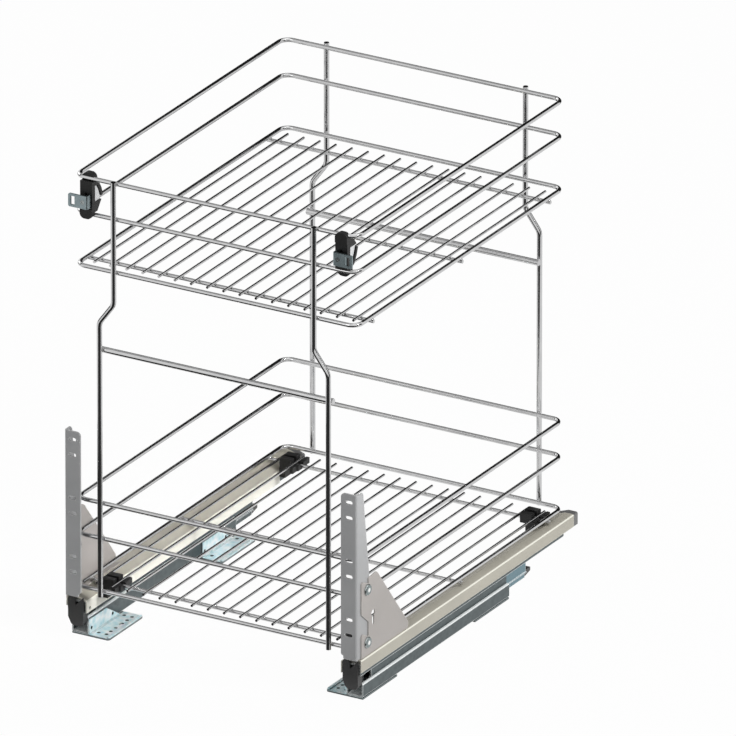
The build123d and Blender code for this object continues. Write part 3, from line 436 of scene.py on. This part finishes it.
def weld_row(name, size, places):
    """One nugget at each place, joined into a single piece that rides with the drawer."""
    model = weld_nugget(name, size)
    copies = []
    for place in places[1:]:
        deselect_all()
        model.select_set(True)
        bpy.context.view_layer.objects.active = model
        bpy.ops.object.duplicate()
        copy = bpy.context.object
        copy.location = place
        copies.append(copy)
    model.location = places[0]
    deselect_all()
    for copy in copies:
        copy.select_set(True)
    model.select_set(True)
    bpy.context.view_layer.objects.active = model
    bpy.ops.object.join()
    bpy.ops.object.transform_apply(location=True)
    model.data.materials.append(FINISHES["chrome_wire"])
    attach(model, "drawer")


def basket_welds(tier):
    """Floor wires on cross wires, and cross wires under the bottom ring."""
    low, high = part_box(tier + "_cross_wires")
    centre = (low + high) / 2
    wire = (high.z - low.z) / 2
    rows = (low.y + wire, centre.y, high.y - wire)
    floor_low, floor_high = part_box(tier + "_floor_wires")
    thin = (floor_high.z - floor_low.z) / 2
    first, last = floor_low.x + thin, floor_high.x - thin
    step = (last - first) / (FLOOR_WIRES - 1)
    meeting = (high.z + floor_low.z) / 2
    places = [(first + count * step, y, meeting) for y in rows for count in range(FLOOR_WIRES)]
    weld_row(tier + "_floor_welds", FLOOR_WELD, places)
    ring_low, ring_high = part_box(tier + "_bottom_ring")
    ring = (ring_high.z - ring_low.z) / 2
    side = ring_high.x - ring
    places = [(x, y, (high.z + ring_low.z) / 2) for y in rows for x in (-side, side)]
    weld_row(tier + "_cross_welds", CROSS_WELD, places)


def post_welds(tier, post_x):
    """Posts against the front and rear runs of a basket's three rings."""
    places = []
    for ring in ("bottom", "middle", "top"):
        low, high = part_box(f"{tier}_{ring}_ring")
        height = (low.z + high.z) / 2
        places += [(x, y, height) for y in (low.y, high.y) for x in (-post_x, post_x)]
    weld_row(tier + "_post_welds", POST_WELD, places)


POST_LOW, POST_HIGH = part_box("right_front_post")
POST_RADIUS = (POST_HIGH.y - POST_LOW.y) / 2
post_welds("lower", POST_HIGH.x - POST_RADIUS)
post_welds("upper", POST_LOW.x + POST_RADIUS)
basket_welds("lower")
basket_welds("upper")
FRONT_LOW, FRONT_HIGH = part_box("front_cross_bar")
REAR_LOW, REAR_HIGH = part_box("rear_cross_bar")
BAR_Z = (FRONT_LOW.z + FRONT_HIGH.z) / 2
weld_row("cross_bar_welds", BAR_WELD, [
    (x, y, BAR_Z)
    for y in (FRONT_LOW.y, REAR_HIGH.y)
    for x in (POST_RADIUS - POST_HIGH.x, POST_HIGH.x - POST_RADIUS)
])


# ======== studio ========


def white_floor():
    """A floor that is lit as pale grey, and seen and mirrored as nearly white."""
    deselect_all()
    bpy.ops.mesh.primitive_plane_add(size=12.0, location=(0, 2.0, 0))
    floor = bpy.context.object
    floor.name = "studio_floor"
    bpy.ops.object.transform_apply(location=True)
    finish = Finish("pale studio floor")
    finish.set(Base_Color=FLOOR_GREY, Roughness=0.9)
    glow = finish.node("ShaderNodeEmission", Strength=1.0)
    path = finish.node("ShaderNodeLightPath")
    both = finish.node("ShaderNodeMath", operation="MAXIMUM")
    finish.join(path.outputs["Is Camera Ray"], both.inputs[0])
    finish.join(path.outputs["Is Glossy Ray"], both.inputs[1])
    share = finish.node("ShaderNodeMath", operation="MULTIPLY")
    share.inputs[1].default_value = FLOOR_GLOW
    finish.join(both.outputs[0], share.inputs[0])
    mix = finish.node("ShaderNodeMixShader")
    finish.join(share.outputs[0], mix.inputs["Fac"])
    finish.join(finish.shader.outputs["BSDF"], mix.inputs[1])
    finish.join(glow.outputs["Emission"], mix.inputs[2])
    finish.join(mix.outputs["Shader"], finish.tree.nodes["Material Output"].inputs["Surface"])
    floor.data.materials.append(finish.material)


def white_world():
    """White where it is seen or mirrored, and a weak light from all round elsewhere."""
    world = bpy.data.worlds.new("studio")
    world.use_nodes = True
    bpy.context.scene.world = world
    tree = world.node_tree
    background = tree.nodes["Background"]
    path = tree.nodes.new("ShaderNodeLightPath")
    seen = tree.nodes.new("ShaderNodeMath")
    seen.operation = "MAXIMUM"
    tree.links.new(path.outputs["Is Camera Ray"], seen.inputs[0])
    tree.links.new(path.outputs["Is Glossy Ray"], seen.inputs[1])
    level = tree.nodes.new("ShaderNodeMapRange")
    level.inputs["To Min"].default_value = AMBIENT
    level.inputs["To Max"].default_value = 1.0
    tree.links.new(seen.outputs[0], level.inputs["Value"])
    tree.links.new(level.outputs["Result"], background.inputs["Strength"])
    background.inputs["Color"].default_value = WHITE


def softbox(name, place, target, size, watts, spread):
    """A rectangular lamp turned to its target."""
    light = bpy.data.lights.new(name, "AREA")
    light.spread = math.radians(spread)
    light.shape = "RECTANGLE"
    light.size, light.size_y = size
    light.energy = watts
    lamp = bpy.data.objects.new(name, light)
    bpy.context.scene.collection.objects.link(lamp)
    lamp.location = place
    lamp.rotation_euler = (Vector(target) - Vector(place)).to_track_quat("-Z", "Y").to_euler()


def camera():
    """A long lens, from the front right and above."""
    low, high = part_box("lower_bottom_ring")
    middle = (low + high) / 2
    right = Vector((math.cos(VIEW_AZIMUTH), math.sin(VIEW_AZIMUTH), 0.0))
    back = Vector((
        math.sin(VIEW_AZIMUTH) * math.cos(VIEW_ELEVATION),
        -math.cos(VIEW_AZIMUTH) * math.cos(VIEW_ELEVATION),
        math.sin(VIEW_ELEVATION),
    ))
    up = back.cross(right)
    data = bpy.data.cameras.new("camera")
    data.lens = LENS
    data.sensor_width = SENSOR
    data.clip_end = 100.0
    eye = bpy.data.objects.new("camera", data)
    bpy.context.scene.collection.objects.link(eye)
    eye.location = middle + right * VIEW_RIGHT + up * VIEW_UP + back * VIEW_DISTANCE
    eye.rotation_euler = (math.pi / 2 - VIEW_ELEVATION, 0.0, VIEW_AZIMUTH)
    bpy.context.scene.camera = eye


def reflected_card(name, place, size, turn, level):
    """A card that only shows as a reflection, as black and grey boards round a studio table."""
    deselect_all()
    bpy.ops.mesh.primitive_plane_add(size=1.0, location=place, rotation=turn)
    card = bpy.context.object
    card.name = name
    card.scale = (size[0], size[1], 1.0)
    bpy.ops.object.transform_apply(location=True, rotation=True, scale=True)
    card.visible_camera = False
    card.visible_diffuse = False
    card.visible_shadow = False
    card.visible_transmission = False
    finish = Finish(name)
    finish.set(Base_Color=BLACK, Roughness=1.0, Emission_Strength=level, Emission_Color=WHITE)
    card.data.materials.append(finish.material)


white_floor()
white_world()
for card in CARDS:
    reflected_card(*card)
for lamp in LAMPS:
    softbox(*lamp)
camera()
bpy.context.scene.view_settings.view_transform = "Standard"
